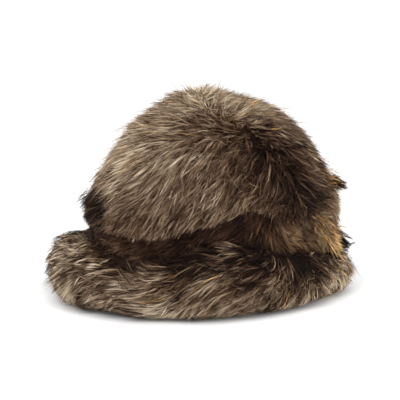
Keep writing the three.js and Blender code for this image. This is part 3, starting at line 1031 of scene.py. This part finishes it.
def brimWool(around):
    under = np.linspace(*wool["underShares"], wool["fewRows"])
    shares = np.concatenate([np.linspace(0, 1, wool["rows"]), under])
    grid, turn = np.meshgrid(shares, around, indexing="ij")
    rings = brimPoint(turn, grid)
    _, _, normals = ringFrame(brimPoint, turn, np.clip(grid, *wool["normalShares"]))
    out = swollenRings("brim", rings) - wool["below"]
    rings = lumpy(rings + normals * out, wool["lumps"], normals)
    rings[..., 2] = np.maximum(rings[..., 2], wool["floor"])
    mouth = [ovalPoint(outside, around, height) for outside, height in wool["mouth"]]
    upper = ovalPoint(wool["brimInner"], around, rings[0, :, 2] - wool["innerDrop"])
    return np.concatenate([upper[None], rings, np.stack(mouth)])


def bandWool(around):
    grid, turn = np.meshgrid(np.linspace(0, 1, wool["fewRows"]), around, indexing="ij")
    rings = bandPoint(turn, grid)
    _, _, normals = ringFrame(bandPoint, turn, grid)
    out = swollenRings("band", rings) - wool["bandBelow"]
    return lumpy(rings + normals * out, wool["bandLumps"], normals)


def makeUndercoats():
    around = np.linspace(0, 2 * np.pi, wool["steps"], endpoint=False)
    material = cloudyMaterial("darkWool", wool)
    top = np.array([middle[0], middle[1] + leanAt(coatTop), coatTop - wool["below"]])
    crown = ringMesh("crown_wool", crownWool(around), material, closeTop=top)
    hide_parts("crown_fur_front", "crown_fur_back")
    brim = ringMesh("brim_wool", brimWool(around), material)
    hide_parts("brim_fur")
    band = ringMesh("band_wool", bandWool(around), material)
    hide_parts("band_fur")
    for piece, slot in ((crown, "crown_fur"), (brim, "brim_fur"), (band, "band_fur")):
        pieces.append(piece)


print("undercoat")
makeUndercoats()

# Hide: its suede side shows inside the crown

suede = dict(
    roughness=0.92, specular=0.15, scale=38, detail=8,
    colours={0.35: (120, 94, 70), 0.65: (168, 140, 108)},
)
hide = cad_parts["crown_hide"]
hide.data.materials.clear()
hide.data.materials.append(cloudyMaterial("suede", suede))

for piece in pieces:
    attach(piece, "root")

# Studio: pale floor, soft light, and the photo's view

studio = dict(
    azimuth=75, elevation=13, distance=2000, scale=0.94,  # millimetres for each pixel at the hat
    imageSide=400, hatPixel=(208, 289),  # where the middle of the hat's base lies in the frame
    sensor=36, clipEnd=50, floorHalf=6.0, floorShade=0.86, sky=1.0, aimHeight=0.1,
    lamps=dict(
        keyLight=dict(at=(0.9, -1.3, 1.9), size=1.6, watts=28),
        topLight=dict(at=(0.2, 0.3, 2.2), size=1.8, watts=14),
        fillLight=dict(at=(1.6, 1.3, 1.0), size=1.6, watts=14),
    ),
)


def makeFloor():
    half, shade = studio["floorHalf"], studio["floorShade"]
    mesh = bpy.data.meshes.new("floor")
    corners = [(-half, -half, 0), (half, -half, 0), (half, half, 0), (-half, half, 0)]
    mesh.from_pydata(corners, [], [(0, 1, 2, 3)])
    material, _, shader = newMaterial("paleFloor", roughness=0.9, specular=0.2)
    shader.inputs["Base Color"].default_value = (shade, shade, shade, 1)
    mesh.materials.append(material)
    linked("floor", mesh)


def makeCamera():
    azimuth, elevation = math.radians(studio["azimuth"]), math.radians(studio["elevation"])
    level = math.cos(elevation)
    back = np.array([math.sin(azimuth) * level, -math.cos(azimuth) * level, math.sin(elevation)])
    right = np.array([math.cos(azimuth), math.sin(azimuth), 0])
    half = studio["imageSide"] / 2
    shift = (studio["hatPixel"][0] - half) * studio["scale"]
    rise = (studio["hatPixel"][1] - half) * studio["scale"] / level
    target = foot - right * shift + np.array([0, 0, rise])
    data = bpy.data.cameras.new("camera")
    camera = linked("camera", data)
    data.sensor_width = studio["sensor"]
    data.lens = studio["sensor"] * studio["distance"] / (studio["scale"] * studio["imageSide"])
    data.clip_end = studio["clipEnd"]
    camera.location = (target + back * studio["distance"]) * mm
    camera.rotation_euler = (math.pi / 2 - elevation, 0, azimuth)
    bpy.context.scene.camera = camera


def makeLight():
    world = bpy.data.worlds.new("studio")
    bpy.context.scene.world = world
    world.use_nodes = True
    background = world.node_tree.nodes["Background"]
    background.inputs["Color"].default_value = (1, 1, 1, 1)
    background.inputs["Strength"].default_value = studio["sky"]
    for name, lamp in studio["lamps"].items():
        light = bpy.data.lights.new(name, "AREA")
        light.size, light.energy = lamp["size"], lamp["watts"]
        holder = linked(name, light)
        holder.location = lamp["at"]
        aim = -holder.location.copy()
        aim.z += studio["aimHeight"]
        holder.rotation_euler = aim.to_track_quat("-Z", "Y").to_euler()
    bpy.context.scene.view_settings.view_transform = "Standard"


print("studio")
makeFloor()
makeCamera()
makeLight()
